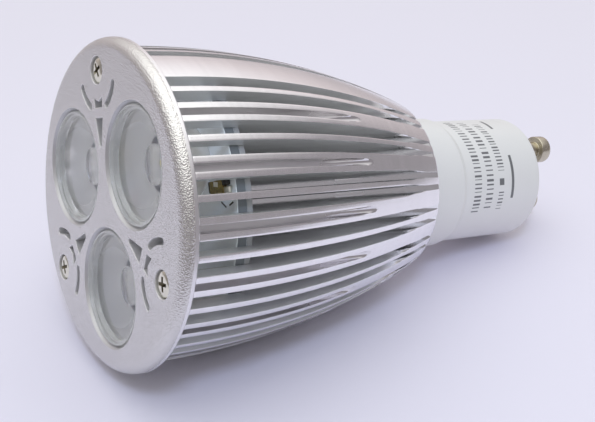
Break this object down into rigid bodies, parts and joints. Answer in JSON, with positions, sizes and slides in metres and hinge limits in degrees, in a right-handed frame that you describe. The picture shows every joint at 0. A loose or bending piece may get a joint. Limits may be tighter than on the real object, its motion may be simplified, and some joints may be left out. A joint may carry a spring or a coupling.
{
  "type": "spotlight bulb",
  "caption": "Reflector-size LED spotlight bulb with a vented metal bezel, clear collimator lenses, a turned finned heatsink and a white twist-lock base with contact pins.",
  "frame": {"origin": "centre of the bezel's front face, on which the bulb stands", "axes": "+Z along the bulb's axis, from the bezel to the contact pins; a lens lies towards +Y"},
  "size_m": [0.05, 0.05, 0.0905],
  "materials": {
    "satin_aluminium": "bead-blasted and clear anodised",
    "turned_aluminium": "extruded, outside turned bright",
    "screw_nickel": "nickel plated",
    "clear_lens": "clear moulded acrylic",
    "emitter": "phosphor in clear silicone",
    "board_mask": "white solder mask",
    "pad_silicone": "soft silicone sheet",
    "pillar_brass": "turned",
    "base_white": "satin moulded",
    "pin_nickel": "nickel plated",
    "sleeve_film": "natural",
    "driver_laminate": "green mask",
    "ferrite": "ground",
    "winding_tape": "taped winding",
    "can_sleeve": "shrink sleeve",
    "black_epoxy": "moulded",
    "resistor_coat": "lacquer",
    "wire_red": "insulation",
    "wire_black": "insulation"
  },
  "bodies": {
    "root": {"front_bezel": "satin_aluminium", "heatsink": "turned_aluminium", "bezel_screws": "screw_nickel", "board_screws": "screw_nickel", "lens_1": "clear_lens", "lens_2": "clear_lens", "lens_3": "clear_lens", "led_1": "emitter", "led_2": "emitter", "led_3": "emitter", "led_board": "board_mask", "thermal_pad": "pad_silicone", "board_standoffs": "pillar_brass", "base_housing": "base_white", "contact_pin_1": "pin_nickel", "contact_pin_2": "pin_nickel", "insulating_sleeve": "sleeve_film", "driver_board": "driver_laminate", "transformer_core": "ferrite", "output_inductor": "ferrite", "transformer_coil": "winding_tape", "input_capacitor": "can_sleeve", "output_capacitor": "can_sleeve", "bridge_rectifier": "black_epoxy", "controller_chip": "black_epoxy", "fuse_resistor": "resistor_coat", "pin_lead_1": "wire_red", "led_lead_1": "wire_red", "pin_lead_2": "wire_black", "led_lead_2": "wire_black"}
  },
  "joints": []
}
